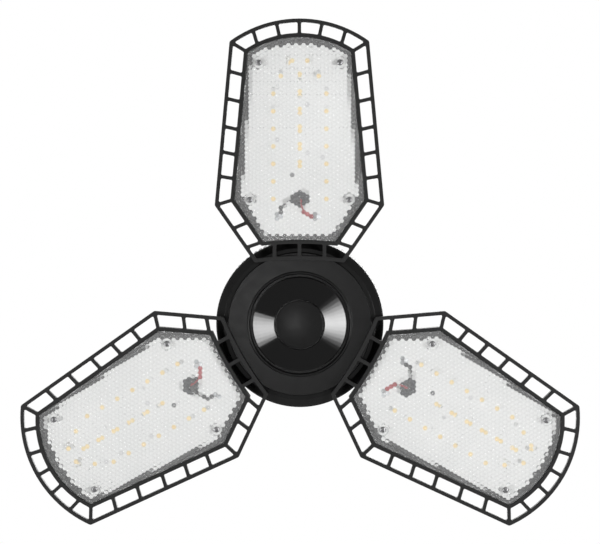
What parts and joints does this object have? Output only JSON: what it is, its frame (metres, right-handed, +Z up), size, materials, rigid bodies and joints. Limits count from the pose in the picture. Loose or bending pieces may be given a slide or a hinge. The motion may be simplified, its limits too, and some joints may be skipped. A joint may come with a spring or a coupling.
{
  "type": "deformable garage light",
  "caption": "Ceiling light with LED panels in ladder frames hinged round a ribbed driver housing with a screw cap; each panel folds up towards the cap.",
  "frame": {"origin": "on the screw cap's axis, at the lower rim of the screw shell", "axes": "+Z up along the cap's axis, away from the light; the LEDs face -Z; panel a points to -Y, panel c to +X and +Y, panel b to -X and +Y"},
  "size_m": [0.3158, 0.2854, 0.0975],
  "materials": {
    "cap_metal": "satin",
    "cap_insulator": "gloss",
    "contact": "satin",
    "housing_plastic": "matte",
    "ring_plastic": "matte",
    "cone_gloss": "gloss",
    "panel_black": "matte",
    "board_white": "satin",
    "led_phosphor": "satin",
    "lens_clear": "gloss",
    "screw_dark": "satin",
    "screw_steel": "satin",
    "grommet_rubber": "matte",
    "wire_red": "satin",
    "lead_sheath": "satin",
    "circuit_board": "satin",
    "capacitor_sleeve": "satin",
    "capacitor_black": "satin",
    "ferrite": "matte",
    "coil_tape": "satin",
    "copper_wire": "satin",
    "chip_black": "matte",
    "fuse_body": "matte",
    "lead_brown": "satin",
    "lead_blue": "satin"
  },
  "bodies": {
    "hub": {"screw_shell": "cap_metal", "cap_insulator": "cap_insulator", "contact_button": "contact", "upper_housing": "housing_plastic", "driver_drum": "housing_plastic", "front_ring": "ring_plastic", "front_cone": "cone_gloss", "centre_cap": "ring_plastic", "cap_clip": "screw_steel", "driver_board": "circuit_board", "input_capacitor": "capacitor_sleeve", "output_capacitor": "capacitor_black", "transformer_core": "ferrite", "transformer_coil": "coil_tape", "filter_choke": "copper_wire", "bridge_rectifier": "chip_black", "driver_chip": "chip_black", "fuse": "fuse_body", "live_lead": "lead_brown", "neutral_lead": "lead_blue", "hub_leads": "lead_sheath", "housing_screws": "screw_steel"},
    "panel_a": {"housing_a": "panel_black", "led_board_a": "board_white", "leds_a": "led_phosphor", "lens_a": "lens_clear", "lens_screws_a": "screw_dark", "board_screw_a": "screw_dark", "grommet_a": "grommet_rubber", "red_wire_a": "wire_red", "black_wire_a": "lead_sheath", "panel_lead_a": "lead_sheath", "hinge_screws_a": "screw_steel", "hinge_washers_a": "screw_steel"},
    "panel_b": {"housing_b": "panel_black", "led_board_b": "board_white", "leds_b": "led_phosphor", "lens_b": "lens_clear", "lens_screws_b": "screw_dark", "board_screw_b": "screw_dark", "grommet_b": "grommet_rubber", "red_wire_b": "wire_red", "black_wire_b": "lead_sheath", "panel_lead_b": "lead_sheath", "hinge_screws_b": "screw_steel", "hinge_washers_b": "screw_steel"},
    "panel_c": {"housing_c": "panel_black", "led_board_c": "board_white", "leds_c": "led_phosphor", "lens_c": "lens_clear", "lens_screws_c": "screw_dark", "board_screw_c": "screw_dark", "grommet_c": "grommet_rubber", "red_wire_c": "wire_red", "black_wire_c": "lead_sheath", "panel_lead_c": "lead_sheath", "hinge_screws_c": "screw_steel", "hinge_washers_c": "screw_steel"}
  },
  "joints": [
    {"name": "fold_a", "type": "hinge", "parent": "hub", "child": "panel_a", "pos_m": [0, -0.056, -0.0545], "axis": [-1, 0, 0], "range_deg": [0, 90]},
    {"name": "fold_b", "type": "hinge", "parent": "hub", "child": "panel_b", "pos_m": [-0.0485, 0.028, -0.0545], "axis": [0.5, 0.866, 0], "range_deg": [0, 90]},
    {"name": "fold_c", "type": "hinge", "parent": "hub", "child": "panel_c", "pos_m": [0.0485, 0.028, -0.0545], "axis": [0.5, -0.866, 0], "range_deg": [0, 90]}
  ]
}
